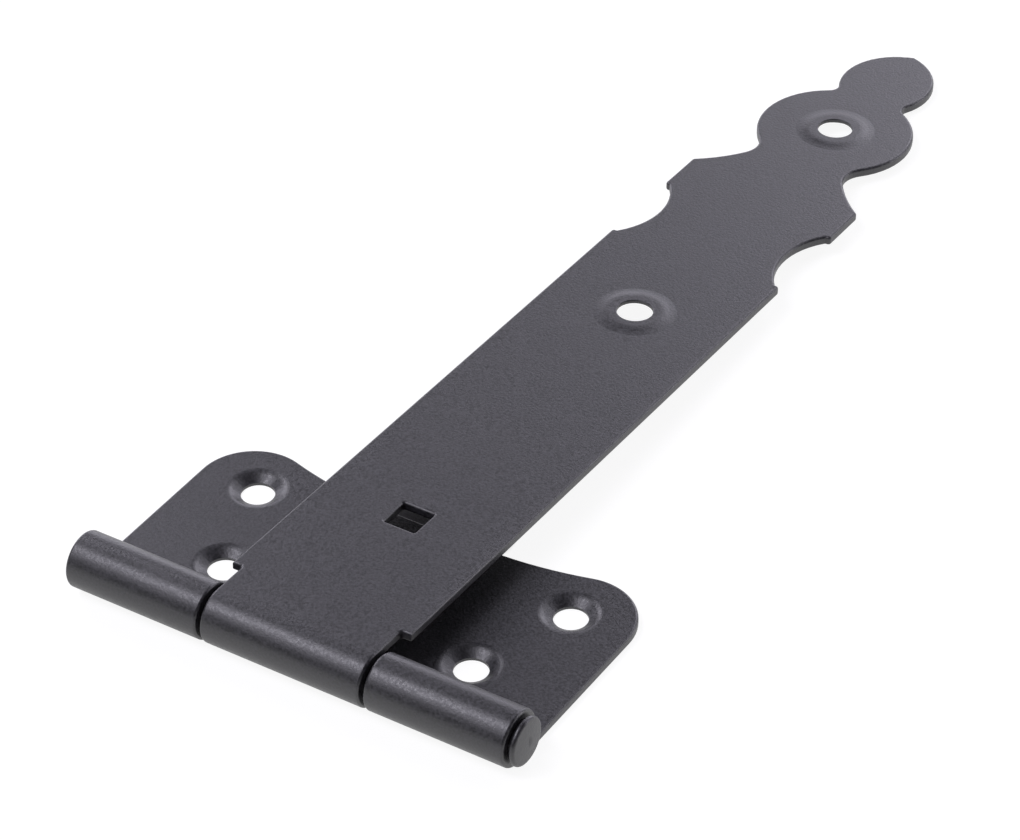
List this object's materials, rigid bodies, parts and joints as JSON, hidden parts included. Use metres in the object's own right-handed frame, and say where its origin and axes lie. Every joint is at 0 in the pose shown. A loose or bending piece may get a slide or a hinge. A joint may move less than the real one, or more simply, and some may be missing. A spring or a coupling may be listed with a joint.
{
  "type": "T hinge",
  "caption": "Ornamental T hinge: a long strap with a shaped end, rolled with a cross plate round one pin, shown folded shut.",
  "frame": {"origin": "on the back face of the cross plate, midway between the two screw holes nearest the barrel", "axes": "+X along the barrel toward the pin's head, +Y from the barrel toward the strap's tip, +Z out of the plate's front face, up as it lies"},
  "size_m": [0.0994, 0.2487, 0.0115],
  "materials": {
    "strap_coat": "fine textured black powder coat",
    "plate_coat": "fine textured black powder coat",
    "pin_coat": "fine textured black powder coat"
  },
  "bodies": {
    "plate": {"cross_plate": "plate_coat", "hinge_pin": "pin_coat"},
    "strap": {"strap_leaf": "strap_coat"}
  },
  "joints": [
    {"name": "leaf_swing", "type": "hinge", "parent": "plate", "child": "strap", "pos_m": [0, -0.0163, 0.00575], "axis": [1, 0, 0], "range_deg": [-6.6, 286]}
  ]
}
